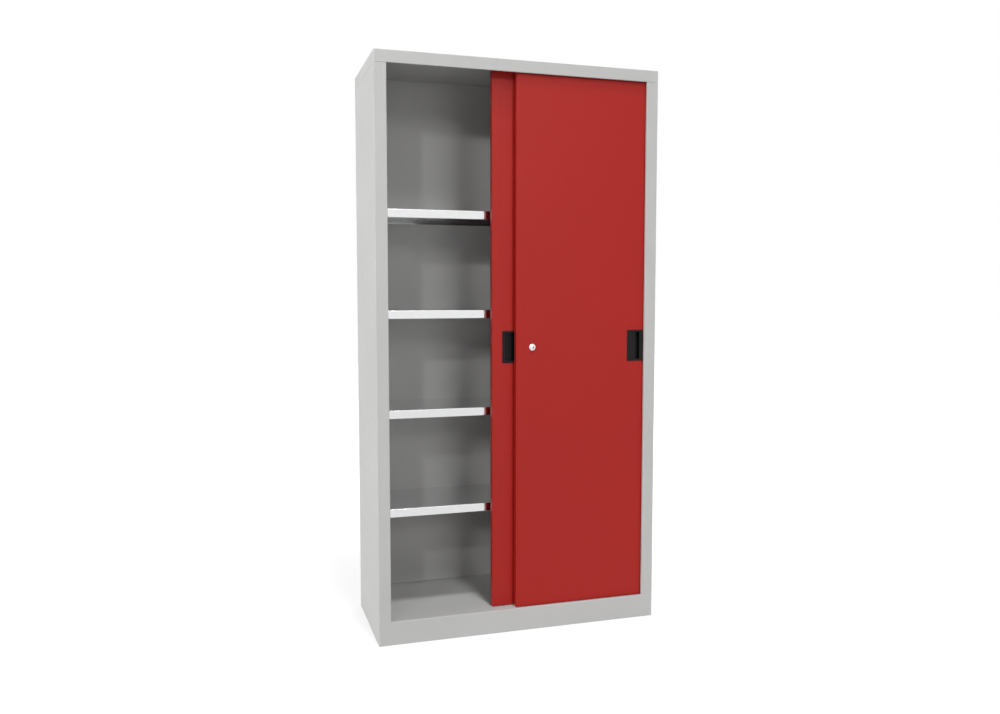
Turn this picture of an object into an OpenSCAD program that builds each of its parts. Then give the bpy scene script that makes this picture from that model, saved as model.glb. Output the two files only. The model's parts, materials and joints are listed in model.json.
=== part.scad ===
// Sliding door cabinet: a folded steel carcass with shelves and two doors that hang from an overhead rail.
// Lengths are in millimetres. Inside the modules, x runs from the left side, y from the front face to the
// back and z up from the ground; in_frame() then sets the origin at the middle of the base.

/* [Cabinet] */
// Overall width
cab_w = 1000; // [860:10:1200]
// Overall depth
cab_d = 420; // [380:5:520]
// Overall height
cab_h = 1950; // [1750:10:2150]
// Thickness of the body and door sheet
sheet = 1; // [0.8:0.1:1.5]
// Inside radius of the bends in the sheet
bend_r = 1; // [0.5:0.25:2]

/* [Front frame] */
// Width of each front jamb
jamb_w = 41; // [30:1:60]
// Depth of the flange that each jamb turns back behind the front face
jamb_return = 10; // [4:0.5:12]
// Depth of the flange that the cap turns back under its lower edge
edge_return = 4; // [3:0.5:8]
// Depth of the plinth's top, behind which the floor starts
return_d = 12; // [8:1:20]
// Height of the top cap's skirt
cap_h = 40; // [34:1:60]
// Height of the seam between the cap and the sides
cap_seam = 0.8; // [0.3:0.1:2]
// Height of the plinth fascia
plinth_h = 80; // [60:1:140]
// Height of the plinth's edge over the cabinet floor
floor_drop = 3; // [2:1:12]
// Height of the turned-down edges of the floor
fold_h = 20; // [10:1:40]

/* [Back and base] */
// Distance from the rear of the cabinet to the inner face of the back panel
back_inset = 22; // [14:1:40]
// Width of the flange that each side turns in at the rear
rear_flange = 20; // [12:1:40]
// Width of the flange that each side turns in at the ground
base_flange = 20; // [12:1:40]
// Height of the tongue of each side that stands inside the cap
tongue_h = 34; // [20:1:38]
// How far the tongue reaches down inside the side
tongue_lap = 17; // [8:1:40]

/* [Uprights and shelves] */
// Width of a shelf upright
upright_w = 30; // [20:1:45]
// Depth of a shelf upright from the side wall
upright_d = 15; // [10:1:25]
// Sheet thickness of uprights and shelf clips
upright_t = 1.5; // [1:0.1:2.5]
// Distance of the uprights from the front and rear edges of the shelves
upright_in = 30; // [10:1:60]
// Vertical pitch of the slots in the uprights
slot_pitch = 20; // [18:1:25]
// Width of a slot
slot_w = 6; // [4:0.5:12]
// Height of a slot
slot_h = 9; // [6:0.5:12]
// Slots from the floor to the lowest shelf, and from one shelf to the next
shelf_step = 17; // [12:1:19]
// Height of a shelf's lips
shelf_h = 29; // [20:1:45]
// Width of the flange under the front and rear lips of a shelf
shelf_return = 12; // [8:1:25]
// Gap from the rear door's back to the front lips of the shelves
shelf_setback = 26; // [12:1:60]
// Gap between a shelf's end and its clips
shelf_gap = 0.5; // [0.2:0.1:2]
// Width of a shelf clip
clip_w = 16; // [10:1:26]
// Length of the clip's ledge under the shelf
clip_ledge = 14; // [8:1:25]
// Height from the clip's ledge to the middle of its slot
clip_rise = 9; // [8:0.5:14]
// Inside radius of a clip's bend
clip_bend = 0.5; // [0.25:0.25:1]

/* [Doors] */
// Thickness of a door pan
door_t = 25; // [22:1:35]
// Gap between the two doors
door_gap = 8; // [6:0.5:14]
// Gap between the frame's return flange and the front door
door_clear = 2; // [1:0.5:6]
// How far the closed doors overlap
door_overlap = 32.6; // [20:0.2:80]
// Gap under the doors
door_lift = 2; // [1.5:0.5:8]
// Width of the flange at the rear of a door's side edges
door_return = 16; // [8:1:30]
// Width of the opened rear door that stays in sight beside the front door
rear_show = 76.7; // [60:0.1:120]
// Width of the hat-shaped stiffener behind a door's skin
stiffener_w = 30; // [20:1:60]
// Depth of the stiffener
stiffener_d = 18; // [10:1:20]
// Width of each of the stiffener's flanges
stiffener_flange = 15; // [8:1:25]
// Distance of the stiffener's ends from the door's top and bottom
stiffener_in = 60; // [30:5:200]

/* [Suspension] */
// Thickness of the rail's webs and flanges
rail_t = 1.5; // [1:0.1:3]
// Half width of the rail's lower flange
rail_half = 16; // [14:0.5:18]
// Half width of the rail's upper flange
rail_cap_half = 10; // [5:0.5:14]
// Height and width of the edge that keeps the rollers on the rail
rail_rim = 1.2; // [0.8:0.1:2]
// Gap between the rail's ends and the tongues of the sides
rail_end = 1; // [0.5:0.5:5]
// Radius of a roller
roller_r = 8; // [6:0.25:9]
// Width of a roller
roller_w = 7; // [4:0.25:7.5]
// Wall of a roller's hub and rim
roller_wall = 1.6; // [1:0.1:2]
// Depth of the recess in a roller's faces
roller_recess = 1.2; // [0.5:0.1:2]
// Width of the eased edges of a roller
roller_ease = 0.9; // [0.3:0.1:1.2]
// Distance from the rail's middle to a roller
roller_in = 7; // [6:0.25:8]
// Gap over a roller
roller_head = 1.5; // [0.5:0.1:4]
// Gap between a roller and its track
roller_clear = 0.3; // [0.1:0.05:0.5]
// Radius of a roller's axle
axle_r = 2.5; // [1.5:0.1:3]
// Radius of an axle's heads and shoulder
axle_head_r = 4; // [3.2:0.1:5]
// Thickness of an axle's heads
axle_head = 1.5; // [1:0.1:2]
// Gap on each side of a roller on its axle
axle_play = 0.5; // [0.2:0.1:0.8]
// Radial clearance of rollers, lock plunger and key plug
run_fit = 0.05; // [0.02:0.01:0.1]
// Thickness of a hanger
hanger_t = 2; // [1.5:0.1:3]
// Length of a hanger
hanger_l = 60; // [30:1:100]
// Distance from a door's edge to its hanger
hanger_in = 30; // [5:1:120]
// Gap between the rail's flange and a hanger's plate
hanger_gap = 3; // [1.5:0.25:4]
// Gap between the rail and a hanger's foot
hang_clear = 1.2; // [0.8:0.1:3]

/* [Guides and stops] */
// Width of the slot under a door
guide_slot = 6; // [4:0.5:8]
// Gap on each side of a guide fin in its slot
guide_gap = 1; // [0.5:0.1:1.5]
// Height of the channel over the slot
channel_h = 15; // [10:1:30]
// Length of a guide fin
fin_l = 24; // [10:1:26]
// Share of a fin's thickness that the rounding of its edges takes
fin_round = 0.45; // [0.1:0.05:0.45]
// Gap over a guide fin in its channel
fin_head = 4; // [2:0.5:6]
// Length of the floor guide's base
guide_base_l = 30; // [20:1:32]
// Width of the floor guide's base
guide_base_w = 60; // [52:1:80]
// Thickness of the floor guide's base
guide_base_t = 1; // [0.8:0.1:1.4]
// Corner radius of the floor guide's base
guide_base_r = 5; // [1:0.5:9]
// Length of a door buffer
buffer_l = 5; // [5:0.5:20]
// Radius of a door buffer
buffer_r = 7; // [4:0.5:10]
// Radius of the round edge of a buffer's nose
buffer_edge = 2.4; // [1:0.1:3.5]
// Radius of a buffer's base
buffer_base_r = 9; // [5:0.5:11]
// Thickness of a buffer's base
buffer_base_t = 2; // [1:0.25:4]
// Distance of the buffers from the floor and from the top of the doors
buffer_in = 170; // [60:5:500]
// Gap between a door and its stop
stop_gap = 0.3; // [0.2:0.05:0.5]
// Height of the rear door's stop on the rail
stop_h = 13; // [10:0.5:16]
// Length of the stop's foot on the rail
stop_foot = 20; // [10:1:40]

/* [Handles] */
// Width of a pull handle
handle_w = 61; // [50:1:75]
// Height of a pull handle
handle_h = 111; // [70:1:160]
// Distance from a door's outer edge to its handle
handle_edge = 35.4; // [20:0.1:90]
// Height of the handles and the lock over the ground
handle_z = 989.4; // [700:0.1:1250]
// Corner radius of a handle's rim
handle_r = 4; // [2:0.5:8]
// How far the rim stands proud of the door
rim_t = 1.6; // [0.8:0.1:2.5]
// How far the rim laps over the cut-out
rim_lap = 3; // [1.5:0.25:5]
// Width of the rim on the shallow side
rim_w = 8; // [6:0.5:14]
// Width of the pull lip
lip_w = 13; // [8:0.5:16]
// Thickness of the pull lip behind the door's face
lip_t = 3; // [1.5:0.25:5]
// How far the finger groove runs under the lip
undercut = 5; // [2:0.5:6]
// Width of the open part of the finger groove
groove_w = 12; // [6:0.5:14]
// Depth of the finger groove
groove_d = 17; // [12:0.5:19]
// Depth of the palm floor at its shallow side
floor_near = 2.5; // [2:0.5:8]
// Depth of the palm floor at the groove
floor_far = 6; // [4:0.5:12]
// Wall of the handle's cup
cup_wall = 1.6; // [1:0.1:2.5]
// Height of the solid part at each end of the recess
recess_end = 7; // [5:0.5:15]

/* [Lock] */
// Distance from the front door's inner edge to the lock
lock_in = 57.3; // [40:0.1:110]
// Radius of the lock's rosette
rosette_r = 11.5; // [11:0.25:18]
// Thickness of the rosette
rosette_t = 2.5; // [1.5:0.25:4]
// Radius of the lock housing
housing_r = 10; // [9.25:0.25:10.5]
// Radius of the plunger
plunger_r = 8; // [7.25:0.25:8.5]
// Travel of the plunger
plunger_travel = 8; // [6:0.25:8.5]
// Length of the plunger's body
plunger_l = 24; // [20:0.5:25]
// Radius of the bolt
bolt_r = 4; // [3:0.25:5]
// How far the bolt lies inside the door when the lock is open
bolt_back = 1; // [0.5:0.25:2]
// Thickness of the housing's end wall
housing_end = 1.5; // [1:0.25:2]
// Radius of the key plug
plug_r = 5; // [4:0.25:6]
// Length of the key plug
plug_l = 18; // [12:0.5:18]
// Width of the keyway
key_w = 2.4; // [1:0.1:3]
// Height of the keyway
key_h = 7.4; // [5:0.1:9]
// Depth of the keyway
key_d = 11; // [5:0.5:12]
// Width of the eased front edges of the rosette and the plunger
lock_ease = 0.7; // [0.2:0.1:1]
// Width across the flats of the lock nut
nut_w = 24; // [23:0.5:34]
// Thickness of the lock nut
nut_t = 4; // [3:0.25:8]
// Height of the keeper on the rear door
keeper_h = 40; // [24:1:80]
// Thickness of the keeper
keeper_t = 1.5; // [1:0.1:2.5]
// Gap between the thrown bolt and the keeper's lip
keeper_play = 3; // [1:0.25:6]

/* [Hidden] */
$fn = 48;
cut = 1;
fit_gap = 0.15;

body_grey = "#cbd0cc";
door_red = "#b02a26";
zinc = "#d8dadb";
nylon_white = "#e8e6dc";
moulded_black = "#1c1c1f";
rubber_black = "#2a2a2a";
bright_chrome = "#e6e8ea";

// Outer radius of a bend
out_r = bend_r + sheet;
// Heights of the frame
cap_z = cab_h - cap_h;
floor_z = plinth_h - floor_drop;
ceiling_z = cab_h - sheet;
back_y = cab_d - back_inset;

// The doors, front one first: face, left edge at rest, middle of the thickness
door_y = [return_d + door_clear, return_d + door_clear + door_t + door_gap];
edge_gap = sheet + buffer_l + stop_gap;
door_w = (cab_w - 2 * edge_gap + door_overlap) / 2;
front_x = cab_w - edge_gap - door_w;
door_x = [front_x, front_x - rear_show];
doors_end = door_y[1] + door_t;

// The overhead rail and what runs on it
rail_y = door_y[1] - door_gap / 2;
roller_z = ceiling_z - rail_t - roller_head - roller_r;
track_z = roller_z - roller_r - roller_clear;
plate_v = rail_half + hanger_gap;
rail_x = 2 * sheet + rail_end;
door_top = track_z - rail_t - hang_clear - hanger_t;
door_z = floor_z + door_lift;
door_h = door_top - door_z;

// Shelves and their uprights
shelf_y = doors_end + shelf_setback;
shelf_d = back_y - shelf_y;
upright_x = sheet + upright_d;
upright_y = [shelf_y + upright_in, back_y - upright_in - upright_w];
upright_top = cap_z - 2 * tongue_lap;
shelf_x = upright_x + upright_t + shelf_gap;
shelf_w = cab_w - 2 * shelf_x;
function slot_z(k) = floor_z + k * slot_pitch;
function shelf_z(i) = slot_z(i * shelf_step) - clip_rise;

// Moulded handle and lock
mouth_x = [rim_w, handle_w - lip_w];
cup_d = groove_d + cup_wall;
lock_front = -rosette_t - plunger_travel;
housing_l = door_t - bolt_back;
plunger_end = lock_front + plunger_l;
lock_x = door_x[0] + lock_in;
keeper_reach = lock_x - bolt_r - keeper_play - (edge_gap + door_w);

module in_frame() {
    translate([-cab_w / 2, -cab_d / 2, 0]) children();
}

// The right-hand copy of a piece that is drawn at the left side
module at_right() {
    translate([cab_w, 0, 0]) mirror([1, 0, 0]) children();
}

// Extrudes a section drawn in y and z along x
module along_x(length) {
    rotate([90, 0, 90]) linear_extrude(length) children();
}

// Extrudes a section drawn in x and z along y
module along_y(length) {
    rotate([-90, 0, 0]) mirror([0, 1, 0]) linear_extrude(length) children();
}

// Revolves a section drawn as radius and distance along y
module revolved_y() {
    rotate([-90, 0, 0]) rotate_extrude() children();
}

// Sheet that follows a right-angled path along its middle plane, with a true bend at each corner
module folded(path, t, r) {
    mid = r + t / 2;
    last = len(path) - 1;
    for (i = [0 : last - 1]) {
        run = norm(path[i + 1] - path[i]);
        along = (path[i + 1] - path[i]) / run;
        head = i == 0 ? 0 : mid;
        tail = i + 1 == last ? 0 : mid;
        translate(path[i])
            rotate(atan2(along.y, along.x))
                translate([head, -t / 2]) square([run - head - tail, t]);
    }
    for (i = [1 : last - 1]) {
        into = (path[i] - path[i - 1]) / norm(path[i] - path[i - 1]);
        away = (path[i + 1] - path[i]) / norm(path[i + 1] - path[i]);
        centre = path[i] - mid * into + mid * away;
        far = centre + (mid + t / 2) * (into - away);
        intersection() {
            translate(centre) difference() {
                circle(mid + t / 2);
                circle(r);
            }
            translate([min(centre.x, far.x), min(centre.y, far.y)]) square(mid + t / 2);
        }
    }
}

// Rectangle with rounded corners: near says whether the corners at y = 0 are round, far those at y = h
module rounded(w, h, r, near = true, far = true) {
    y0 = near ? r : 0;
    y1 = far ? h - r : h;
    translate([r, 0]) square([w - 2 * r, h]);
    translate([0, y0]) square([w, y1 - y0]);
    for (x = [r, w - r]) {
        if (near) translate([x, r]) circle(r);
        if (far) translate([x, h - r]) circle(r);
    }
}

// Block of a door pan: round vertical edges, and round edges along the top and bottom of its face
module door_block(w, d, h, r) {
    intersection() {
        linear_extrude(h) rounded(w, d, r);
        along_x(w) translate([0, h]) rotate(-90) rounded(h, d, r, far = false);
    }
}

// Block of a lid: round vertical edges and a round edge all along the top
module lid_block(w, d, h, r) {
    intersection() {
        linear_extrude(h) rounded(w, d, r);
        along_x(w) rounded(d, h, r, near = false);
        along_y(d) rounded(w, h, r, near = false);
    }
}

// One side of the carcass: jamb, side wall and rear flange are one folded sheet. Over the plinth the jamb
// turns back as a return flange; beside the plinth it is cut square, so that the two butt flush
module side_panel() {
    half = sheet / 2;
    wall = [
        [half, half],
        [half, cab_d - half],
        [rear_flange, cab_d - half]
    ];
    foot = concat([[jamb_w, half]], wall);
    jamb = concat([[jamb_w - half, jamb_return], [jamb_w - half, half]], wall);
    linear_extrude(plinth_h) folded(foot, sheet, bend_r);
    translate([0, 0, plinth_h])
        linear_extrude(cap_z - cap_seam - plinth_h) folded(jamb, sheet, bend_r);
    // Flange at the ground
    translate([half, return_d + door_clear, 0])
        cube([base_flange, cab_d - return_d - door_clear - 2 * sheet, sheet]);
    // Tongue that stands inside the cap's skirt
    translate([sheet, door_y[0], cap_z - tongue_lap])
        cube([sheet, back_y - door_y[0] - sheet, tongue_lap + tongue_h]);
}

module left_side_panel() {
    color(body_grey) in_frame() side_panel();
}

module right_side_panel() {
    color(body_grey) in_frame() at_right() side_panel();
}

// The back is a pan whose edges turn to the rear
module back_panel() {
    w = cab_w - 2 * sheet;
    h = ceiling_z - floor_z;
    d = back_inset - sheet - bend_r;
    color(body_grey) in_frame() translate([sheet, back_y, floor_z]) difference() {
        door_block(w, d, h, out_r);
        translate([sheet, sheet, sheet])
            cube([w - 2 * sheet, d, h - 2 * sheet]);
    }
}

// The cap is a lid; between the jambs its lower front edge turns back as a return flange
module top_cap() {
    half = sheet / 2;
    span = cab_w - 2 * jamb_w;
    section = [
        [edge_return, half],
        [half, half],
        [half, 2 * out_r]
    ];
    color(body_grey) in_frame() translate([0, 0, cap_z]) {
        difference() {
            lid_block(cab_w, cab_d, cap_h, out_r);
            translate([sheet, sheet, -sheet])
                lid_block(cab_w - 2 * sheet, cab_d - 2 * sheet, cap_h, bend_r);
            translate([jamb_w, -cut, -cut]) cube([span, sheet + 2 * cut, out_r + cut]);
        }
        translate([jamb_w, 0, 0]) along_x(span) folded(section, sheet, bend_r);
    }
}

// The floor turns down behind the plinth and along both sides
module floor_panel() {
    half = sheet / 2;
    section = [
        [return_d + half, floor_z - fold_h],
        [return_d + half, floor_z - half],
        [cab_d - 2 * sheet, floor_z - half]
    ];
    color(body_grey) in_frame() {
        translate([sheet, 0, 0]) along_x(cab_w - 2 * sheet) folded(section, sheet, bend_r);
        for (x = [sheet, cab_w - 2 * sheet])
            translate([x, return_d + out_r, floor_z - fold_h])
                cube([sheet, cab_d - return_d - out_r - 2 * sheet, fold_h - half]);
    }
}

// The plinth is a channel between the jambs, with its edge turned back and down on to the floor's front
module plinth_fascia() {
    half = sheet / 2;
    section = [
        [return_d, half],
        [half, half],
        [half, plinth_h - half],
        [return_d - half, plinth_h - half],
        [return_d - half, floor_z - fold_h]
    ];
    color(body_grey) in_frame()
        translate([jamb_w, 0, 0]) along_x(cab_w - 2 * jamb_w) folded(section, sheet, bend_r);
}

// Rail that closes the base at the rear and carries the floor
module rear_base_rail() {
    half = sheet / 2;
    section = [
        [back_y, floor_z - sheet - half],
        [cab_d - sheet - half, floor_z - sheet - half],
        [cab_d - sheet - half, 0]
    ];
    color(body_grey) in_frame()
        translate([2 * sheet, 0, 0]) along_x(cab_w - 4 * sheet) folded(section, sheet, bend_r);
}

// Overhead rail: an upper flange under the cap, a web between the doors and a track on each side of it
module top_rail() {
    color(zinc) in_frame() translate([rail_x, rail_y, 0]) along_x(cab_w - 2 * rail_x) {
        translate([-rail_cap_half, ceiling_z - rail_t]) square([2 * rail_cap_half, rail_t]);
        translate([-rail_t / 2, track_z - rail_t]) square([rail_t, ceiling_z - track_z + rail_t]);
        translate([-rail_half, track_z - rail_t]) square([2 * rail_half, rail_t]);
        for (v = [-rail_half, rail_half - rail_rim])
            translate([v, track_z - rail_t]) square([rail_rim, rail_t + rail_rim]);
    }
}

// Angle on the rear track that stops the rear door while its handle is still in reach; its wing stands over
// the track's rim in the way of the hanger
module rear_door_stop() {
    half = rail_t / 2;
    x = door_x[1] + door_w - hanger_in + stop_gap + half;
    section = [
        [x, track_z + stop_h],
        [x, track_z + half],
        [x + stop_foot, track_z + half]
    ];
    color(zinc) in_frame() translate([0, rail_y + rail_t, 0]) {
        along_y(rail_half - rail_rim - rail_t - fit_gap) folded(section, rail_t, bend_r);
        translate([x - half, 0, track_z + 2 * rail_rim])
            cube([rail_t, plate_v + hanger_t - rail_t, stop_h - 2 * rail_rim]);
    }
}

// Nylon guide on the floor, with a fin in the slot of each door
module floor_guide() {
    fin_t = guide_slot - 2 * guide_gap;
    fin_top = door_z + channel_h - fin_head;
    color(nylon_white) in_frame() {
        translate([cab_w / 2 - guide_base_l / 2, rail_y - guide_base_w / 2, floor_z])
            linear_extrude(guide_base_t) rounded(guide_base_l, guide_base_w, guide_base_r);
        for (y = door_y)
            translate([cab_w / 2 - fin_l / 2, y + door_t / 2 - fin_t / 2, floor_z])
                linear_extrude(fin_top - floor_z) rounded(fin_l, fin_t, fin_round * fin_t);
    }
}

// Rubber buffer on a side wall, drawn with its base at x = 0
module buffer() {
    rotate([0, 90, 0]) rotate_extrude() {
        square([buffer_base_r, buffer_base_t]);
        square([buffer_r, buffer_l - buffer_edge]);
        square([buffer_r - buffer_edge, buffer_l]);
        translate([buffer_r - buffer_edge, buffer_l - buffer_edge]) circle(buffer_edge);
    }
}

module buffer_pair(y) {
    for (z = [floor_z + buffer_in, door_top - buffer_in])
        translate([sheet, y + door_t / 2, z]) buffer();
}

module left_buffers() {
    color(rubber_black) in_frame() for (y = door_y) buffer_pair(y);
}

module right_buffers() {
    color(rubber_black) in_frame() at_right() buffer_pair(door_y[0]);
}

// Slotted channel that carries the shelf clips, drawn at the left side
module upright(y) {
    half = upright_t / 2;
    section = [
        [sheet, y + half],
        [upright_x - half, y + half],
        [upright_x - half, y + upright_w - half],
        [sheet, y + upright_w - half]
    ];
    last_slot = floor((upright_top - floor_z) / slot_pitch) - 1;
    translate([0, 0, floor_z]) difference() {
        linear_extrude(upright_top - floor_z) folded(section, upright_t, bend_r);
        translate([upright_x - 2 * upright_t, y + upright_w / 2 - slot_w / 2, -slot_h / 2])
            for (k = [2 : last_slot])
                translate([0, 0, k * slot_pitch]) cube([3 * upright_t, slot_w, slot_h]);
    }
}

module upright_front_left() {
    color(body_grey) in_frame() upright(upright_y[0]);
}

module upright_rear_left() {
    color(body_grey) in_frame() upright(upright_y[1]);
}

module upright_front_right() {
    color(body_grey) in_frame() at_right() upright(upright_y[0]);
}

module upright_rear_right() {
    color(body_grey) in_frame() at_right() upright(upright_y[1]);
}

// Shelf i: a sheet folded down at the front and rear, with a turned-in flange under each lip and closed ends
module shelf(i) {
    half = sheet / 2;
    section = [
        [shelf_return, half],
        [half, half],
        [half, shelf_h - half],
        [shelf_d - half, shelf_h - half],
        [shelf_d - half, half],
        [shelf_d - shelf_return, half]
    ];
    color(zinc) in_frame() translate([shelf_x, shelf_y, shelf_z(i)]) {
        along_x(shelf_w) folded(section, sheet, bend_r);
        for (x = [0, shelf_w - sheet])
            translate([x, 0, 0]) along_x(sheet) rounded(shelf_d, shelf_h, out_r);
    }
}

module shelf_1() { shelf(1); }
module shelf_2() { shelf(2); }
module shelf_3() { shelf(3); }
module shelf_4() { shelf(4); }

// Clip under the end of a shelf: a ledge, a plate on the upright and a hook through its slot
module clip() {
    half = upright_t / 2;
    tab_w = slot_w - 4 * fit_gap;
    tab_h = slot_h - 4 * fit_gap;
    hook_x = -2 * upright_t - fit_gap;
    section = [
        [upright_t + clip_ledge, -half],
        [half, -half],
        [half, clip_rise + slot_h]
    ];
    translate([0, -clip_w / 2, 0]) along_y(clip_w) folded(section, upright_t, clip_bend);
    translate([hook_x, -tab_w / 2, clip_rise - tab_h / 2]) cube([half - hook_x, tab_w, tab_h]);
    translate([hook_x, -tab_w / 2, clip_rise - tab_h]) cube([upright_t, tab_w, tab_h]);
}

module shelf_clips(i) {
    color(zinc) in_frame() for (y = upright_y) {
        translate([upright_x, y + upright_w / 2, shelf_z(i)]) clip();
        at_right() translate([upright_x, y + upright_w / 2, shelf_z(i)]) clip();
    }
}

module shelf_clips_1() { shelf_clips(1); }
module shelf_clips_2() { shelf_clips(2); }
module shelf_clips_3() { shelf_clips(3); }
module shelf_clips_4() { shelf_clips(4); }

// Sets a piece that is drawn from a door's own lower left corner into its place: 0 is the front door
module on_door(i) {
    in_frame() translate([door_x[i], door_y[i], door_z]) children();
}

// Hollow door pan with turned-in rear edges, a slot underneath and the cut-out of its handle
module door_pan(handle_x) {
    difference() {
        door_block(door_w, door_t, door_h, out_r);
        translate([sheet, sheet, sheet])
            door_block(door_w - 2 * sheet, door_t - 2 * sheet, door_h - 2 * sheet, bend_r);
        translate([door_return, door_t / 2, sheet])
            cube([door_w - 2 * door_return, door_t, door_h - 2 * sheet]);
        translate([out_r, door_t / 2 - guide_slot / 2, -cut])
            cube([door_w - 2 * out_r, guide_slot, sheet + 2 * cut]);
        translate([handle_x, -cut, handle_z - door_z - handle_h / 2])
            along_y(sheet + 2 * cut) handle_outline(rim_lap - fit_gap);
    }
}

// Outline of a handle, drawn in by a lap
module handle_outline(lap) {
    translate([lap, lap]) rounded(handle_w - 2 * lap, handle_h - 2 * lap, handle_r - lap / 2);
}

function handle_x(i) = i == 0 ? door_w - handle_edge - handle_w : handle_edge;

module front_door_panel() {
    color(door_red) on_door(0) difference() {
        door_pan(handle_x(0));
        translate([lock_in, -cut, handle_z - door_z])
            rotate([-90, 0, 0]) cylinder(h = sheet + 2 * cut, r = housing_r + fit_gap);
    }
}

module rear_door_panel() {
    color(door_red) on_door(1) door_pan(handle_x(1));
}

// Hat section that keeps a door's skin flat
module stiffener() {
    half = sheet / 2;
    x = door_w / 2;
    section = [
        [x - stiffener_w / 2 - stiffener_flange, sheet + half],
        [x - stiffener_w / 2, sheet + half],
        [x - stiffener_w / 2, sheet + stiffener_d],
        [x + stiffener_w / 2, sheet + stiffener_d],
        [x + stiffener_w / 2, sheet + half],
        [x + stiffener_w / 2 + stiffener_flange, sheet + half]
    ];
    translate([0, 0, stiffener_in])
        linear_extrude(door_h - 2 * stiffener_in) folded(section, sheet, bend_r);
}

module front_door_stiffener() {
    color(door_red) on_door(0) stiffener();
}

module rear_door_stiffener() {
    color(door_red) on_door(1) stiffener();
}

// Channel over the slot in a door's lower edge, in which the guide fin runs
module guide_channel() {
    half = sheet / 2;
    y = [door_t / 2 - guide_slot / 2 - half, door_t / 2 + guide_slot / 2 + half];
    section = [
        [y[0], sheet],
        [y[0], channel_h + half],
        [y[1], channel_h + half],
        [y[1], sheet]
    ];
    translate([out_r, 0, 0]) along_x(door_w - 2 * out_r) folded(section, sheet, bend_r);
}

module front_guide_channel() {
    color(zinc) on_door(0) guide_channel();
}

module rear_guide_channel() {
    color(zinc) on_door(1) guide_channel();
}

// Middle of a hanger, and of its roller, along x: side 0 is the left one
function hanger_x(i, side) =
    door_x[i] + (side == 0 ? hanger_in + hanger_l / 2 : door_w - hanger_in - hanger_l / 2);

// Sets a piece that is drawn behind the rail's middle plane at a hanger; the front door's are mirrored
module at_hanger(i, side) {
    in_frame() translate([hanger_x(i, side), rail_y, 0]) mirror([0, i == 0 ? 1 : 0, 0]) children();
}

// Angle on top of a door that reaches round the track's edge and holds a roller over it
module hanger(i, side) {
    half = hanger_t / 2;
    section = [
        [plate_v + half, roller_z + roller_r],
        [plate_v + half, door_top + half],
        [door_gap / 2 + out_r, door_top + half]
    ];
    color(zinc) at_hanger(i, side) difference() {
        translate([-hanger_l / 2, 0, 0]) along_x(hanger_l) folded(section, hanger_t, bend_r);
        translate([0, plate_v - cut, roller_z])
            rotate([-90, 0, 0]) cylinder(h = hanger_t + 2 * cut, r = axle_r + run_fit);
    }
}

module front_hanger_left() { hanger(0, 0); }
module front_hanger_right() { hanger(0, 1); }
module rear_hanger_left() { hanger(1, 0); }
module rear_hanger_right() { hanger(1, 1); }

// Riveted axle: a head at each end and a shoulder between the roller and the hanger
module axle() {
    near = roller_in - axle_play;
    shoulder = roller_in + roller_w + axle_play;
    revolved_y() {
        translate([0, near - axle_head]) square([axle_head_r, axle_head]);
        translate([0, near]) square([axle_r, plate_v + hanger_t - near]);
        translate([0, shoulder]) square([axle_head_r, plate_v - shoulder]);
        translate([0, plate_v + hanger_t]) square([axle_head_r, axle_head]);
    }
}

module axles(i) {
    color(bright_chrome) for (side = [0, 1]) at_hanger(i, side) translate([0, 0, roller_z]) axle();
}

module front_axles() { axles(0); }
module rear_axles() { axles(1); }

// Nylon roller with eased edges and a turned recess in each face
module roller(i, side) {
    bore = axle_r + run_fit;
    hub_r = bore + roller_wall;
    rim_r = roller_r - roller_wall;
    section = [
        [bore, 0],
        [hub_r, 0],
        [hub_r, roller_recess],
        [rim_r, roller_recess],
        [rim_r, 0],
        [roller_r - roller_ease, 0],
        [roller_r, roller_ease],
        [roller_r, roller_w - roller_ease],
        [roller_r - roller_ease, roller_w],
        [rim_r, roller_w],
        [rim_r, roller_w - roller_recess],
        [hub_r, roller_w - roller_recess],
        [hub_r, roller_w],
        [bore, roller_w]
    ];
    color(nylon_white) at_hanger(i, side)
        translate([0, roller_in, roller_z]) revolved_y() polygon(section);
}

module front_roller_left() { roller(0, 0); }
module front_roller_right() { roller(0, 1); }
module rear_roller_left() { roller(1, 0); }
module rear_roller_right() { roller(1, 1); }

// Moulded cup: a proud rim, a sloping palm floor and a finger groove that runs under the pull lip
module handle(i) {
    groove_x = mouth_x[1] - groove_w;
    recess = [
        [mouth_x[0], -rim_t - cut],
        [mouth_x[0], 0],
        [mouth_x[0] + cup_wall, floor_near],
        [groove_x, floor_far],
        [groove_x, groove_d],
        [mouth_x[1] + undercut, groove_d],
        [mouth_x[1] + undercut, lip_t],
        [mouth_x[1], lip_t],
        [mouth_x[1], -rim_t - cut]
    ];
    color(moulded_black) on_door(i)
        translate([handle_x(i), 0, handle_z - door_z - handle_h / 2]) difference() {
            union() {
                translate([0, -rim_t, 0]) along_y(rim_t) handle_outline(0);
                along_y(cup_d) handle_outline(rim_lap);
            }
            translate([0, 0, recess_end]) linear_extrude(handle_h - 2 * recess_end) polygon(recess);
        }
}

module front_handle() { handle(0); }
module rear_handle() { handle(1); }

// Sets a piece that is drawn round the y axis from the front door's face at the lock
module at_lock() {
    on_door(0) translate([lock_in, 0, handle_z - door_z]) children();
}

// Sleeve of the lock with its rosette, and an end wall that guides the bolt
module lock_housing() {
    bore = plunger_r + run_fit;
    rosette = [
        [bore, -rosette_t],
        [rosette_r - lock_ease, -rosette_t],
        [rosette_r, lock_ease - rosette_t],
        [rosette_r, 0],
        [bore, 0]
    ];
    color(bright_chrome) at_lock() revolved_y() {
        polygon(rosette);
        translate([bore, -rosette_t]) square([housing_r - bore, rosette_t + housing_l]);
        translate([bolt_r + run_fit, housing_l - housing_end])
            square([housing_r - bolt_r - run_fit, housing_end]);
    }
}

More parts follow.
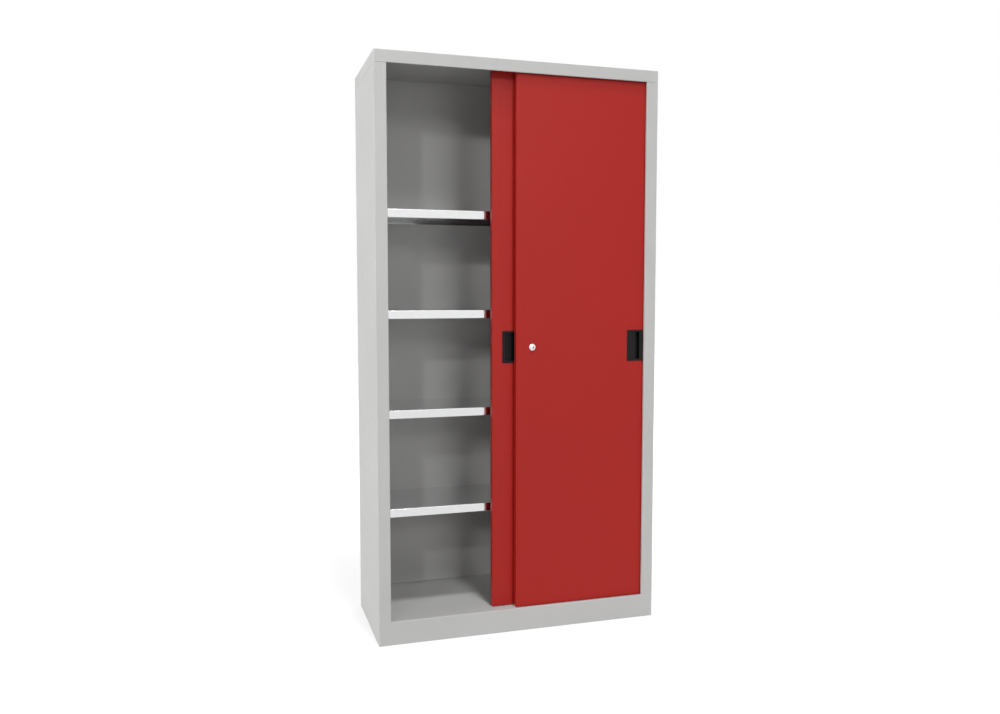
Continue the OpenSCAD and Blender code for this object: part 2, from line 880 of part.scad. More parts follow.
// Six-sided nut that holds the housing against the door's skin
module lock_nut() {
    corner_r = nut_w / 2 / cos(30);
    color(zinc) at_lock() translate([0, sheet, 0]) rotate([-90, 0, 0]) difference() {
        cylinder(h = nut_t, r = corner_r, $fn = 6);
        translate([0, 0, -cut]) cylinder(h = nut_t + 2 * cut, r = housing_r + fit_gap);
    }
}

// Push button of the lock with its bolt: pressed, the bolt stands in the gap between the doors
module lock_plunger() {
    bore = plug_r + run_fit;
    button = [
        [bore, lock_front],
        [plunger_r - lock_ease, lock_front],
        [plunger_r, lock_front + lock_ease],
        [plunger_r, lock_front + plug_l],
        [bore, lock_front + plug_l]
    ];
    color(bright_chrome) at_lock() revolved_y() {
        polygon(button);
        translate([0, lock_front + plug_l]) square([plunger_r, plunger_l - plug_l]);
        translate([0, plunger_end]) square([bolt_r, housing_l - plunger_end]);
    }
}

// Key plug with its keyway
module lock_plug() {
    color(bright_chrome) at_lock() translate([0, lock_front, 0]) difference() {
        rotate([-90, 0, 0]) cylinder(h = plug_l, r = plug_r);
        translate([-key_w / 2, -cut, -key_h / 2]) cube([key_w, key_d + cut, key_h]);
    }
}

// Angle on the rear door's inner edge; its lip stands in the gap between the doors, where the bolt catches it
module lock_keeper() {
    half = keeper_t / 2;
    lip_y = -door_gap / 2;
    section = [
        [door_w + half, door_t - out_r],
        [door_w + half, lip_y],
        [door_w + keeper_reach, lip_y]
    ];
    color(zinc) on_door(1) translate([0, 0, handle_z - door_z - keeper_h / 2])
        linear_extrude(keeper_h) folded(section, keeper_t, bend_r);
}

left_side_panel();
right_side_panel();
back_panel();
top_cap();
floor_panel();
plinth_fascia();
rear_base_rail();
top_rail();
rear_door_stop();
floor_guide();
left_buffers();
right_buffers();
upright_front_left();
upright_rear_left();
upright_front_right();
upright_rear_right();
shelf_1();
shelf_2();
shelf_3();
shelf_4();
shelf_clips_1();
shelf_clips_2();
shelf_clips_3();
shelf_clips_4();
front_door_panel();
front_door_stiffener();
front_guide_channel();
front_hanger_left();
front_hanger_right();
front_axles();
front_roller_left();
front_roller_right();
front_handle();
lock_housing();
lock_nut();
lock_plunger();
lock_plug();
rear_door_panel();
rear_door_stiffener();
rear_guide_channel();
rear_hanger_left();
rear_hanger_right();
rear_axles();
rear_roller_left();
rear_roller_right();
rear_handle();
lock_keeper();
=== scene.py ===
# %% [markdown]
# # A sliding door cabinet
# The cabinet is a folded steel carcass with shelves and two doors that hang from a rail behind the top
# cap. Its construction model is loaded as a fixed frame, in metres, with the origin on the ground at the
# middle of the base. A scene could rebuild every panel from scratch; here the construction pieces stay as
# they are and get their finishes, and only small things that are put in afterwards, such as rivets and
# screws, are modelled on top.

# %% Load the construction model
import json
import math

import bmesh
import bpy
from mathutils import Matrix, Vector


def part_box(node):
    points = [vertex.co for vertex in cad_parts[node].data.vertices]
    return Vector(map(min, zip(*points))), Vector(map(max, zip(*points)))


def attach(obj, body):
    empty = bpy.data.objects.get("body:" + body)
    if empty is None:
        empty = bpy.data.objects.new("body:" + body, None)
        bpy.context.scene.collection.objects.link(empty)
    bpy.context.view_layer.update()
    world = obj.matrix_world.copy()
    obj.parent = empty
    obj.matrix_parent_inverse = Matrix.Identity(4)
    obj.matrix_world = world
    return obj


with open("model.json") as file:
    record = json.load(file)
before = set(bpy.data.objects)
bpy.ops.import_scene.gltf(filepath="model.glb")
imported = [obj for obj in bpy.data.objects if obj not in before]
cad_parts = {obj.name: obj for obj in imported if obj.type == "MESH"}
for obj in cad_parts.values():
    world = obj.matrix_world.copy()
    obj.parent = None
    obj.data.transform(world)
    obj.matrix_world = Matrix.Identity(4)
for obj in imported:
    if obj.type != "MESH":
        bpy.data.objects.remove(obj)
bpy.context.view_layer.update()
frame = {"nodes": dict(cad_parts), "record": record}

MM = 0.001
nodes = frame["nodes"]

# %% [markdown]
# ## The camera
# The picture is taken from a little above the middle of the doors, to the left of the cabinet. A
# constraint could aim the camera at the object; here the angles come from where the cabinet's upright and
# level edges converge, so the camera is set down by numbers.

# %% Set up the camera
CAMERA_AT = Vector((-0.9681, -3.0921, 1.17855))
CAMERA_YAW = 17.134
CAMERA_PITCH = 4.162
LENS = 32.118
SENSOR = 36.0

camera = bpy.data.objects.new("camera", bpy.data.cameras.new("camera"))
camera.data.sensor_fit = "HORIZONTAL"
camera.data.sensor_width = SENSOR
camera.data.lens = LENS
camera.location = CAMERA_AT
camera.rotation_euler = (math.radians(90 - CAMERA_PITCH), 0, math.radians(-CAMERA_YAW))
bpy.context.scene.collection.objects.link(camera)
bpy.context.scene.camera = camera
bpy.context.scene.view_settings.view_transform = "Standard"
print("camera", [round(x, 3) for x in camera.location], "lens", LENS)

# %% [markdown]
# ## Small helpers for materials
# A material is a little network of nodes. Writing out every node by hand hides what matters, so one
# helper makes a node with its settings and another starts a material. The texture coordinates are the
# object's own: the pattern then sticks to the piece when a door slides.

# %% Material helpers
def add_node(tree, kind, **settings):
    """A node whose settings are sockets or properties, by their names."""
    node = tree.nodes.new(kind)
    for name, value in settings.items():
        if name in node.inputs:
            node.inputs[name].default_value = value
        else:
            setattr(node, name, value)
    return node


def new_finish(name):
    """A material with its shader, and the object's own coordinates as a source for textures."""
    finish = bpy.data.materials.new(name)
    finish.use_nodes = True
    tree = finish.node_tree
    shader = tree.nodes["Principled BSDF"]
    place = add_node(tree, "ShaderNodeTexCoord").outputs["Object"]
    return finish, tree, shader, place


print("helpers for nodes and materials ready")

# %% [markdown]
# ## Patterns for the finishes
# No real finish is the same all over. A noise texture gives a number at each point of the surface, and
# the helpers below turn it into a range of numbers, a tint or a relief. Painted images could do that too,
# but a pattern that is worked out in space has no seams and needs no file.

# %% Pattern helpers
def noise(tree, place, scale, detail=2.0, rough=0.5):
    texture = add_node(tree, "ShaderNodeTexNoise", Scale=scale, Detail=detail, Roughness=rough)
    tree.links.new(place, texture.inputs["Vector"])
    return texture.outputs["Fac"]


def spread(tree, value, low, high, start=0.3, end=0.7):
    """Maps start to low and end to high; unless told otherwise, it spreads the middle of a noise."""
    ramp = add_node(tree, "ShaderNodeMapRange")
    settings = {"From Min": start, "From Max": end, "To Min": low, "To Max": high}
    for socket, number in settings.items():
        ramp.inputs[socket].default_value = number
    tree.links.new(value, ramp.inputs["Value"])
    return ramp.outputs["Result"]


def tint(tree, value, dark, light):
    """A colour between dark and light, chosen by value."""
    mix = add_node(tree, "ShaderNodeMix", data_type="RGBA")
    for socket in mix.inputs:
        if socket.type == "RGBA" and socket.name == "A":
            socket.default_value = (*dark, 1)
        if socket.type == "RGBA" and socket.name == "B":
            socket.default_value = (*light, 1)
    tree.links.new(value, mix.inputs["Factor"])
    return next(out for out in mix.outputs if out.type == "RGBA")


def relief(tree, shader, height, depth_mm):
    """Small height differences that only bend the light."""
    bump = add_node(tree, "ShaderNodeBump", Strength=1.0, Distance=depth_mm * MM)
    tree.links.new(height, bump.inputs["Height"])
    tree.links.new(bump.outputs["Normal"], shader.inputs["Normal"])


def scaled(colour, factor):
    return tuple(channel * factor for channel in colour)


print("helpers for patterns ready")

# %% [markdown]
# ## Powder coat
# Carcass and doors are powder coated. The powder melts into a satin skin that never flows quite flat:
# close up it has the dimples of orange peel, a millimetre or two across. That could be sculpted, but it
# is only a few microns high, so a bump from a fine noise is enough. A broad, faint drift in tone keeps
# the big panels from looking dead.

# %% Powder coat finishes
BODY_GREY = (0.495, 0.497, 0.489)
DOOR_RED = (0.357, 0.0100, 0.0062)
DRIFT_SCALE, DRIFT_DARK, DRIFT_LIGHT = 2.2, 0.975, 1.02
PEEL_SCALE, PEEL_DETAIL, PEEL_ROUGH, PEEL_MM = 620, 3.0, 0.55, 0.012
COAT_GLOSS_SCALE, COAT_ROUGHNESS = 45, (0.40, 0.47)
COAT_SPECULAR = 0.3


def powder_coat(name, colour):
    finish, tree, shader, place = new_finish(name)
    drift = spread(tree, noise(tree, place, DRIFT_SCALE), 0, 1)
    tone = tint(tree, drift, scaled(colour, DRIFT_DARK), scaled(colour, DRIFT_LIGHT))
    tree.links.new(tone, shader.inputs["Base Color"])
    peel = noise(tree, place, PEEL_SCALE, detail=PEEL_DETAIL, rough=PEEL_ROUGH)
    relief(tree, shader, peel, PEEL_MM)
    gloss = spread(tree, noise(tree, place, COAT_GLOSS_SCALE), *COAT_ROUGHNESS)
    tree.links.new(gloss, shader.inputs["Roughness"])
    shader.inputs["Specular IOR Level"].default_value = COAT_SPECULAR
    return finish


body_paint = powder_coat("light_grey_powder_coat", BODY_GREY)
door_paint = powder_coat("flame_red_powder_coat", DOOR_RED)
print("powder coats:", body_paint.name, door_paint.name)

# %% [markdown]
# ## Bright zinc
# The shelves are left in bright galvanised sheet. Zinc freezes into crystals, each a slightly different
# mirror, which the trade calls spangle. A photographed texture could show them; on skin-passed sheet they
# are so faint that the cells of a Voronoi texture, which shift the tone and the roughness by a few
# hundredths, do as well. Fine lines along the rolling direction are laid over it.

# %% Galvanised finish
ZINC = (0.82, 0.825, 0.83)
SPANGLE_SCALE, SPANGLE_DARK, SPANGLE_LIGHT = 85.0, 0.985, 1.01
SPANGLE_ROUGHNESS = (0.08, 0.12)
ROLLING_STRETCH, ROLLING_SCALE, ROLLING_MM = (1.0, 60.0, 60.0), 30, 0.0015


def galvanised(name):
    finish, tree, shader, place = new_finish(name)
    shader.inputs["Metallic"].default_value = 1.0
    crystals = add_node(tree, "ShaderNodeTexVoronoi", Scale=SPANGLE_SCALE, Randomness=1.0)
    tree.links.new(place, crystals.inputs["Vector"])
    grain = add_node(tree, "ShaderNodeSeparateColor")
    tree.links.new(crystals.outputs["Color"], grain.inputs["Color"])
    dark, light = scaled(ZINC, SPANGLE_DARK), scaled(ZINC, SPANGLE_LIGHT)
    tree.links.new(tint(tree, grain.outputs["Red"], dark, light), shader.inputs["Base Color"])
    gloss = spread(tree, grain.outputs["Green"], *SPANGLE_ROUGHNESS, start=0, end=1)
    tree.links.new(gloss, shader.inputs["Roughness"])
    stretch = add_node(tree, "ShaderNodeMapping")
    stretch.inputs["Scale"].default_value = ROLLING_STRETCH
    tree.links.new(place, stretch.inputs["Vector"])
    relief(tree, shader, noise(tree, stretch.outputs["Vector"], ROLLING_SCALE), ROLLING_MM)
    return finish


zinc = galvanised("bright_galvanised_sheet")
print("zinc:", zinc.name)

# %% [markdown]
# ## Plastics and rubber
# The pulls are moulded in black plastic with a fine spark-eroded grain, the rollers and the floor guide
# are natural nylon, and the buffers are rubber. Three materials could be built one by one; they differ
# only in their numbers, so one recipe makes all three: a base colour that varies a little, a grain of the
# right size, and its own gloss.

# %% Moulded finishes
TONE_SCALE = 60
MOULD_GLOSS_SCALE = 200
MOULD_GRAIN_ROUGH = 0.6


def moulded(name, dark, light, grain_scale, grain_mm, roughness, specular=0.5):
    finish, tree, shader, place = new_finish(name)
    tone = tint(tree, spread(tree, noise(tree, place, TONE_SCALE), 0, 1), dark, light)
    tree.links.new(tone, shader.inputs["Base Color"])
    relief(tree, shader, noise(tree, place, grain_scale, rough=MOULD_GRAIN_ROUGH), grain_mm)
    gloss = spread(tree, noise(tree, place, MOULD_GLOSS_SCALE), *roughness)
    tree.links.new(gloss, shader.inputs["Roughness"])
    shader.inputs["Specular IOR Level"].default_value = specular
    return finish


black_plastic = moulded(
    "moulded_black_plastic", dark=(0.0055, 0.0055, 0.0065), light=(0.008, 0.008, 0.009),
    grain_scale=2600, grain_mm=0.02, roughness=(0.40, 0.50), specular=0.2)
nylon = moulded(
    "natural_nylon", dark=(0.74, 0.72, 0.64), light=(0.80, 0.78, 0.71),
    grain_scale=1500, grain_mm=0.008, roughness=(0.28, 0.36))
rubber = moulded(
    "black_rubber", dark=(0.018, 0.018, 0.018), light=(0.028, 0.028, 0.028),
    grain_scale=1200, grain_mm=0.02, roughness=(0.65, 0.8))
print("moulded:", black_plastic.name, nylon.name, rubber.name)

# %% [markdown]
# ## Bright plating
# The lock and the axles are plated. A plain mirror would do from afar, but plating is never quite even: a
# cloudy tint and a hint of haze, both too weak to be seen as a pattern, make it look like metal close up.

# %% Plated finish
PLATING = (0.90, 0.905, 0.91)
CLOUD_SCALE, CLOUD_DARK = 140, 0.97
HAZE_SCALE, HAZE_ROUGHNESS = 900, (0.05, 0.10)


def plated(name, colour):
    finish, tree, shader, place = new_finish(name)
    shader.inputs["Metallic"].default_value = 1.0
    cloud = spread(tree, noise(tree, place, CLOUD_SCALE), 0, 1)
    tree.links.new(tint(tree, cloud, scaled(colour, CLOUD_DARK), colour), shader.inputs["Base Color"])
    haze = spread(tree, noise(tree, place, HAZE_SCALE), *HAZE_ROUGHNESS)
    tree.links.new(haze, shader.inputs["Roughness"])
    return finish


chrome = plated("bright_plating", PLATING)
print("plated:", chrome.name)

# %% [markdown]
# ## Dressing the construction pieces
# Every construction piece keeps its mesh and takes the finish of its material slot. The finish could be
# chosen piece by piece; taking it from the record keeps the picture and the construction model in step.

# %% Finishes for the construction pieces
FINISHES = {
    "body_paint": body_paint,
    "door_paint": door_paint,
    "galvanised": zinc,
    "nylon": nylon,
    "black_plastic": black_plastic,
    "rubber": rubber,
    "bright_chrome": chrome,
}
for part in frame["record"]["subparts"]:
    piece = nodes[part["node"]]
    piece.data.materials.clear()
    piece.data.materials.append(FINISHES[part["material_slot"]])

# %% [markdown]
# ## Eased edges
# No real edge is a perfect corner. A moulding leaves its tool with a small radius and a turned part has
# its edges broken, and that thin band is what catches the light. Cutting the bands into the meshes would
# change the construction pieces, so a Bevel modifier adds them. The pieces come with each flat face split
# off for shading, so a Weld modifier joins the corners first, and Weighted Normal keeps the large faces
# flat afterwards.

# %% Eased edges of the moulded, turned and pressed pieces
EASE_MM = {
    "front_handle": 0.6, "rear_handle": 0.6,
    "lock_housing": 0.25, "lock_plunger": 0.25, "lock_plug": 0.2, "lock_nut": 0.4,
    "floor_guide": 0.3, "lock_keeper": 0.3, "rear_door_stop": 0.3,
    "front_hanger_left": 0.4, "front_hanger_right": 0.4,
    "rear_hanger_left": 0.4, "rear_hanger_right": 0.4,
}
CORNER_ANGLE = math.radians(35)
BEVEL_STEPS = 2
SAME_POINT = 1e-6
LARGE_FACES_FIRST = 100


def ease_edges(piece, width_mm):
    piece.modifiers.new("join_corners", "WELD").merge_threshold = SAME_POINT
    bevel = piece.modifiers.new("eased_edges", "BEVEL")
    bevel.width = width_mm * MM
    bevel.segments = BEVEL_STEPS
    bevel.limit_method = "ANGLE"
    bevel.angle_limit = CORNER_ANGLE
    piece.modifiers.new("flat_faces", "WEIGHTED_NORMAL").weight = LARGE_FACES_FIRST


for name, width_mm in EASE_MM.items():
    ease_edges(nodes[name], width_mm)
print("eased", len(EASE_MM), "pieces")

# %% [markdown]
# ## Making a small piece
# The small pieces that follow are all rings of points with faces between them, which suits what a lathe or
# a punch makes. Blender's primitives could be joined and cut instead, but rings give clean faces and need
# no cutting. Each piece then takes a finish and rides on the body that carries it.

# %% Helpers for small pieces
def join_rings(shape, ring, other):
    """Faces between two rings of points; a ring of one point is a tip."""
    for i in range(max(len(ring), len(other))):
        j = i + 1
        near = [ring[i % len(ring)], ring[j % len(ring)]]
        far = [other[j % len(other)], other[i % len(other)]]
        shape.faces.new(list(dict.fromkeys(near + far)))


def finish_piece(name, shape, body, slot):
    """Turns a bmesh into a piece that takes a finish and rides on a body."""
    bmesh.ops.recalc_face_normals(shape, faces=shape.faces)
    mesh = bpy.data.meshes.new(name)
    shape.to_mesh(mesh)
    shape.free()
    mesh.materials.append(FINISHES[slot])
    mesh.shade_smooth()
    mesh.set_sharp_from_angle(angle=CORNER_ANGLE)
    piece = bpy.data.objects.new(name, mesh)
    bpy.context.scene.collection.objects.link(piece)
    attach(piece, body)
    print(name, "rides on", body, "with", len(mesh.polygons), "faces")


print("helpers for small pieces ready")

# %% [markdown]
# ## Keyway of the lock
# A key plug isn't cut straight through: its keyway has wards, ribs that stop a wrong key, and from the
# front it looks black because almost no light comes back out. It could be cut into the plug; the straight
# slot of the construction piece is lined here with a black pocket whose walls step in and out, so that the
# plug stays as it is. The pocket's black is painted shade that stands for that unlit inside. The pocket
# turns with the plug and rides on it.

# %% Warded keyway, lined with painted shade
SLOT_HALF_W, SLOT_HALF_H, SLOT_DEEP = 1.18, 3.68, 10.9
KEY_HALF_W, KEY_HALF_H, KEY_DEEP = 0.7, 3.2, 10.0
MOUTH_IN = 0.25
RIGHT_WARD = (1.3, 0.9, 0.1, -0.3)
LEFT_WARD = (-2.1, -1.7, -1.0, -0.6)
WARD_CREST = (2, 3)  # the two points of a side that reach in to the middle of the keyway


def keyway_lines():
    """The slot's outline and the key's: down the right side, then up the left side."""
    slot = [(SLOT_HALF_W, z) for z in (SLOT_HALF_H, *RIGHT_WARD, -SLOT_HALF_H)]
    slot += [(-SLOT_HALF_W, z) for z in (-SLOT_HALF_H, *LEFT_WARD, SLOT_HALF_H)]
    key = []
    for side, ward in ((1, RIGHT_WARD), (-1, LEFT_WARD)):
        heights = (side * KEY_HALF_H, *ward, -side * KEY_HALF_H)
        key += [(0 if i in WARD_CREST else side * KEY_HALF_W, z) for i, z in enumerate(heights)]
    return slot, key


def keyway_ring(shape, line, depth):
    """A line of points across the plug's face, in millimetres, at a depth behind the face."""
    low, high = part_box("lock_plug")
    mouth = Vector(((low.x + high.x) / 2, low.y, (low.z + high.z) / 2))
    return [shape.verts.new(mouth + Vector((x, depth, z)) * MM) for x, z in line]


slot_line, key_line = keyway_lines()
shape = bmesh.new()
slot_mouth = keyway_ring(shape, slot_line, MOUTH_IN)
slot_end = keyway_ring(shape, slot_line, SLOT_DEEP)
key_mouth = keyway_ring(shape, key_line, MOUTH_IN)
key_end = keyway_ring(shape, key_line, KEY_DEEP)
join_rings(shape, slot_mouth, slot_end)
join_rings(shape, slot_mouth, key_mouth)
join_rings(shape, key_mouth, key_end)
shape.faces.new(slot_end)
shape.faces.new(key_end)
# The pocket's black is painted shade for the unlit inside of the keyway.
finish_piece("keyway_painted_shade", shape, "lock_plug", "black_plastic")

# %% [markdown]
# ## Painted shade round the keyhole
# A thin black frame round the mouth of the keyway is painted shade: from a step away it makes the dark
# keyhole look larger than the slot. A bevelled plate with a hole would need a Boolean. Five rings, from
# the frame's back over its rim to the slot, give the same form with clean faces.

# %% Painted shade round the keyway
SHADE_FRAME_HALF_W, SHADE_FRAME_HALF_H, SHADE_FRAME_R, SHADE_FRAME_EASE = 2.0, 4.3, 1.9, 0.12
SHADE_FRAME_FRONT, SHADE_FRAME_BACK = -0.22, 0.05
CORNER_STEPS = 6


def rounded_line(half_w, half_h, radius):
    """A rectangle with round corners, point by point from the upper right corner on."""
    line = []
    for corner, (side_x, side_z) in enumerate(((1, 1), (-1, 1), (-1, -1), (1, -1))):
        for step in range(CORNER_STEPS + 1):
            angle = (corner + step / CORNER_STEPS) * math.pi / 2
            x = side_x * (half_w - radius) + radius * math.cos(angle)
            line.append((x, side_z * (half_h - radius) + radius * math.sin(angle)))
    return line


shape = bmesh.new()
shade_frame_line = rounded_line(SHADE_FRAME_HALF_W, SHADE_FRAME_HALF_H, SHADE_FRAME_R)
crown_line = rounded_line(
    SHADE_FRAME_HALF_W - SHADE_FRAME_EASE, SHADE_FRAME_HALF_H - SHADE_FRAME_EASE, SHADE_FRAME_R - SHADE_FRAME_EASE)
mouth_line = rounded_line(SLOT_HALF_W, SLOT_HALF_H, SHADE_FRAME_EASE)
shade_frame_rings = [
    keyway_ring(shape, shade_frame_line, SHADE_FRAME_BACK),
    keyway_ring(shape, shade_frame_line, SHADE_FRAME_FRONT + SHADE_FRAME_EASE),
    keyway_ring(shape, crown_line, SHADE_FRAME_FRONT),
    keyway_ring(shape, mouth_line, SHADE_FRAME_FRONT),
    keyway_ring(shape, mouth_line, SHADE_FRAME_BACK),
]
for ring, other in zip(shade_frame_rings, shade_frame_rings[1:] + shade_frame_rings[:1]):
    join_rings(shape, ring, other)
# The frame's black is painted shade that makes the dark keyhole look wider than the slot.
finish_piece("keyhole_shade_frame", shape, "lock_plug", "black_plastic")

# %% [markdown]
# ## Rivets of the back
# The back is held between the sides by blind rivets through its folded edges. A rivet is a turned part, a
# profile spun round an axis. The Screw modifier could spin it; it is built ring by ring here, because a
# ring can then also be six-sided for a screw's socket. All the rivets of a row are one piece.

# %% Back rivets
SIDES = 24
SOCKET = 3.0
RIVET = [
    (0, 0.85), (0.85, 0.85), (1.0, 1.3), (1.8, 1.35), (2.8, 0.95), (3.4, 0.3), (3.4, -0.05), (0, -0.05)]
BACK_SHEET = 1.0 * MM
BACK_RIVETS = 8
BACK_RIVET_IN = 120 * MM


def hexagon_radius(angle, across):
    """How far a hexagon of a given width across its flats reaches at an angle."""
    flat = math.pi / 3
    return across / 2 / math.cos((angle + flat / 2) % flat - flat / 2)


def turned(shape, profile, at, facing):
    """Spins a profile of radii and heights, in millimetres, and sets it at a point, facing a direction.

    Where the radius is "socket", the ring is six-sided."""
    place = Matrix.Translation(at) @ Vector(facing).to_track_quat("Z", "Y").to_matrix().to_4x4()
    rings = []
    for radius, height in profile:
        ring = []
        for angle in [math.tau * i / SIDES for i in range(SIDES if radius else 1)]:
            reach = hexagon_radius(angle, SOCKET) if radius == "socket" else radius
            point = Vector((reach * math.cos(angle), reach * math.sin(angle), height)) * MM
            ring.append(shape.verts.new(place @ point))
        rings.append(ring)
    for ring, other in zip(rings, rings[1:]):
        join_rings(shape, ring, other)


back_low, back_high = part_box("back_panel")
flanges = {"left": (back_low.x + BACK_SHEET, 1), "right": (back_high.x - BACK_SHEET, -1)}
for side, (x, facing) in flanges.items():
    shape = bmesh.new()
    for i in range(BACK_RIVETS):
        share = i / (BACK_RIVETS - 1)
        z = back_low.z + BACK_RIVET_IN + share * (back_high.z - back_low.z - 2 * BACK_RIVET_IN)
        turned(shape, RIVET, (x, (back_low.y + back_high.y) / 2, z), (facing, 0, 0))
    finish_piece(f"back_rivets_{side}", shape, "carcass", "galvanised")

# %% [markdown]
# ## Rivets of the keeper
# The bolt of the lock goes behind a small angle, the keeper, which two more rivets hold on the edge of the
# rear door. They could be copies of the others; spun again from the same profile, they are a piece that
# slides with the door.

# %% Keeper rivets
KEEPER_SHEET = 1.5 * MM
KEEPER_RIVET_RISE = 12 * MM

door_low, door_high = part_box("rear_door_panel")
keeper_low, keeper_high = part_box("lock_keeper")
x = door_high.x + KEEPER_SHEET
y = (door_low.y + door_high.y) / 2
z = (keeper_low.z + keeper_high.z) / 2
shape = bmesh.new()
for rise in (-KEEPER_RIVET_RISE, KEEPER_RIVET_RISE):
    turned(shape, RIVET, (x, y, z + rise), (1, 0, 0))
finish_piece("keeper_rivets", shape, "rear_door", "galvanised")

# %% [markdown]
# ## Screw of the floor guide
# One countersunk screw holds the floor guide between its fins. A screw from a library would bring a whole
# thread that nobody sees, so only its head is spun, with a six-sided socket for the key.

# %% Guide screw
SCREW = [
    (0, -0.9), ("socket", -0.7), ("socket", 0.02), (1.9, 0.06), (3.0, 0.04), (3.2, 0.0), (1.6, -1.1),
    (0, -1.1)]
GUIDE_BASE = 1.0 * MM

guide_low, guide_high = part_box("floor_guide")
guide_middle = (guide_low + guide_high) / 2
shape = bmesh.new()
turned(shape, SCREW, (guide_middle.x, guide_middle.y, guide_low.z + GUIDE_BASE), (0, 0, 1))
finish_piece("floor_guide_screw", shape, "carcass", "bright_chrome")

# %% [markdown]
# ## Who sees the studio
# In a catalogue picture the background is white, but a surround that bright would flood the cabinet with
# light. It could be cut out and pasted on white later. Here the Light Path node tells which kind of ray
# asks: the camera and every mirror-like surface see white, and the light that falls on the paint is set
# apart from it.

# %% Switches by the kind of ray
MIRRORS = ("Is Glossy Ray", "Is Transmission Ray")
BEFORE_MATT_BOUNCE = 0.5  # the bounces are counted in whole numbers, from 0


def calculate(tree, operation, first, second):
    node = add_node(tree, "ShaderNodeMath", operation=operation)
    for socket, value in zip(node.inputs, (first, second)):
        if isinstance(value, (int, float)):
            socket.default_value = value
        else:
            tree.links.new(value, socket)
    return node.outputs["Value"]


def seen_by(tree, kinds):
    """1 for rays of the given kinds that no matt surface has sent on, 0 for all others."""
    path = add_node(tree, "ShaderNodeLightPath")
    seen = path.outputs[kinds[0]]
    for kind in kinds[1:]:
        seen = calculate(tree, "MAXIMUM", seen, path.outputs[kind])
    straight = calculate(tree, "LESS_THAN", path.outputs["Diffuse Depth"], BEFORE_MATT_BOUNCE)
    return calculate(tree, "MULTIPLY", seen, straight)


def choose(tree, switch, off, on):
    """One of two shaders, by a switch that is 0 or 1."""
    mix = add_node(tree, "ShaderNodeMixShader")
    tree.links.new(switch, mix.inputs["Fac"])
    tree.links.new(off, mix.inputs[1])
    tree.links.new(on, mix.inputs[2])
    return mix.outputs["Shader"]


print("switches ready")

# %% [markdown]
# ## White surround
# The studio's walls are far away and even. A dome could stand for them; the world does it without a mesh.
# It shows as plain white and throws only a trace of light.

# %% The world
WHITE = (1, 1, 1, 1)
SURROUND_LIGHT = 0.02
SURROUND_SHOWN = 1.0

world = bpy.data.worlds.new("white_surround")
bpy.context.scene.world = world
world.use_nodes = True
tree = world.node_tree
tree.nodes.clear()
lit = add_node(tree, "ShaderNodeBackground", Color=WHITE, Strength=SURROUND_LIGHT)
shown = add_node(tree, "ShaderNodeBackground", Color=WHITE, Strength=SURROUND_SHOWN)
switch = seen_by(tree, ("Is Camera Ray", *MIRRORS))
choice = choose(tree, switch, lit.outputs["Background"], shown.outputs["Background"])
tree.links.new(choice, add_node(tree, "ShaderNodeOutputWorld").inputs["Surface"])
print("surround throws", SURROUND_LIGHT, "and shows", SURROUND_SHOWN)

# %% [markdown]
# ## Pale floor
# The cabinet stands on a level floor that runs out of the picture on all sides. A curved backdrop could
# hide where floor and wall meet; here both are white, so one flat sheet is enough.

# %% The floor
FLOOR_HALF = 12.0

floor_mesh = bpy.data.meshes.new("studio_floor")
floor_corners = [(x * FLOOR_HALF, y * FLOOR_HALF, 0) for x, y in ((-1, -1), (1, -1), (1, 1), (-1, 1))]
floor_mesh.from_pydata(floor_corners, [], [(0, 1, 2, 3)])
floor = bpy.data.objects.new("studio_floor", floor_mesh)
bpy.context.scene.collection.objects.link(floor)
print("floor", 2 * FLOOR_HALF, "m square")

# %% [markdown]
# ## Finish of the floor
# Lit like the cabinet, the floor would turn grey, and a shadow catcher would need a second picture. So the
# camera sees a matt floor with a glow of its own, which is nearly white and keeps the soft shadow, mirrors
# see it plain, and the light that it throws back is that of a light grey floor. The glow grows a little
# with the distance from the cabinet, so that the floor runs into the white surround.

# %% The floor's finish
FLOOR_SHADE = 0.25
FLOOR_BOUNCE = 0.6
FLOOR_IN_MIRRORS = 0.92
GLOW_NEAR, GLOW_NEAR_AT = 0.78, 0.7
GLOW_FAR, GLOW_FAR_AT = 0.97, 2.2

floor_finish = bpy.data.materials.new("studio_floor")
floor_finish.use_nodes = True
tree = floor_finish.node_tree
tree.nodes.clear()
matt = add_node(tree, "ShaderNodeBsdfDiffuse", Color=(FLOOR_BOUNCE, FLOOR_BOUNCE, FLOOR_BOUNCE, 1))
shaded = add_node(tree, "ShaderNodeBsdfDiffuse", Color=(FLOOR_SHADE, FLOOR_SHADE, FLOOR_SHADE, 1))
place = add_node(tree, "ShaderNodeTexCoord").outputs["Object"]
distance = add_node(tree, "ShaderNodeVectorMath", operation="LENGTH")
tree.links.new(place, distance.inputs[0])
glow = add_node(tree, "ShaderNodeEmission", Color=WHITE)
strength = spread(
    tree, distance.outputs["Value"], GLOW_NEAR, GLOW_FAR, start=GLOW_NEAR_AT, end=GLOW_FAR_AT)
tree.links.new(strength, glow.inputs["Strength"])
lifted = add_node(tree, "ShaderNodeAddShader")
tree.links.new(shaded.outputs["BSDF"], lifted.inputs[0])
tree.links.new(glow.outputs["Emission"], lifted.inputs[1])
plain = add_node(tree, "ShaderNodeEmission", Color=WHITE, Strength=FLOOR_IN_MIRRORS)
switch = seen_by(tree, ("Is Camera Ray",))
surface = choose(tree, switch, matt.outputs["BSDF"], lifted.outputs["Shader"])
surface = choose(tree, seen_by(tree, MIRRORS), surface, plain.outputs["Emission"])
tree.links.new(surface, add_node(tree, "ShaderNodeOutputMaterial").inputs["Surface"])
floor_mesh.materials.append(floor_finish)
print("floor glows from", GLOW_NEAR, "to", GLOW_FAR)

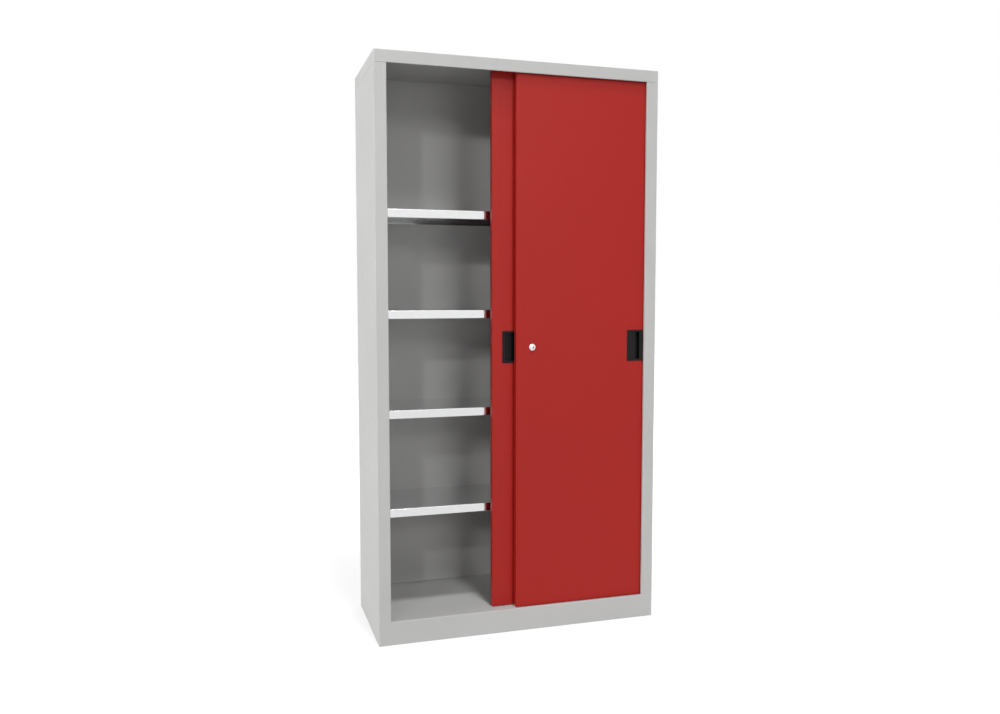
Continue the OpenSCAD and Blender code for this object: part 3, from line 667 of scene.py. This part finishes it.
# %% [markdown]
# ## The lamps
# Two high lamps in front light the doors, the top and the cabinet's floor. A small one near the left draws
# the sharp shadows of the left jamb and of each shelf on the back wall, and a far one softens them. Lower
# lamps in front and on the right reach into the bays, broad panels lift the two sides, and one behind
# keeps the back from going dark in other views. One sky picture could light it all, but then no shadow
# could be set by itself. Three lamps are kept out of mirrors, or the shelf edges and the right side would
# show them as glaring spots.

# %% Lamps
MIDDLE = (0.0, 0.0, 1.0)
LAMPS = {
    "key_high": {"at": (0.75, -6.6, 19.0), "aim": MIDDLE, "size": 2.7, "watts": 1500},
    "key_front": {"at": (2.2, -20.0, 22.5), "aim": MIDDLE, "size": 4.8, "watts": 2080},
    "left_spot": {"at": (-2.57, -4.44, 3.52), "aim": MIDDLE, "size": 0.22, "watts": 31},
    "left_far": {"at": (-14.0, -14.0, 7.5), "aim": MIDDLE, "size": 2.4, "watts": 740},
    "right_front": {"at": (4.0, -19.0, 9.4), "aim": MIDDLE, "size": 3.0, "watts": 90},
    "right_low": {"at": (2.6, -11.0, 1.0), "aim": MIDDLE, "size": 4.0, "watts": 112},
    "middle_front": {"at": (0.6, -12.0, 5.0), "aim": MIDDLE, "size": 2.0, "watts": 120},
    "left_panel": {"at": (-11.7, -0.9, 3.4), "aim": (-0.5, 0.0, 1.0), "size": 6.0, "watts": 850},
    "right_panel": {"at": (11.0, 3.6, 3.4), "aim": (0.5, 0.0, 1.0), "size": 6.0, "watts": 500},
    "back_panel": {"at": (1.7, 5.0, 3.6), "aim": (0.0, 0.2, 1.0), "size": 2.4, "watts": 160},
}
NOT_MIRRORED = ("right_low", "right_panel", "back_panel")

for name, lamp in LAMPS.items():
    light = bpy.data.objects.new(name, bpy.data.lights.new(name, "AREA"))
    light.data.shape = "DISK"
    light.data.size = lamp["size"]
    light.data.energy = lamp["watts"]
    light.visible_glossy = name not in NOT_MIRRORED
    light.location = lamp["at"]
    beam = Vector(lamp["aim"]) - Vector(lamp["at"])
    light.rotation_euler = beam.to_track_quat("-Z", "Y").to_euler()
    bpy.context.scene.collection.objects.link(light)
print("lamps:", ", ".join(LAMPS))
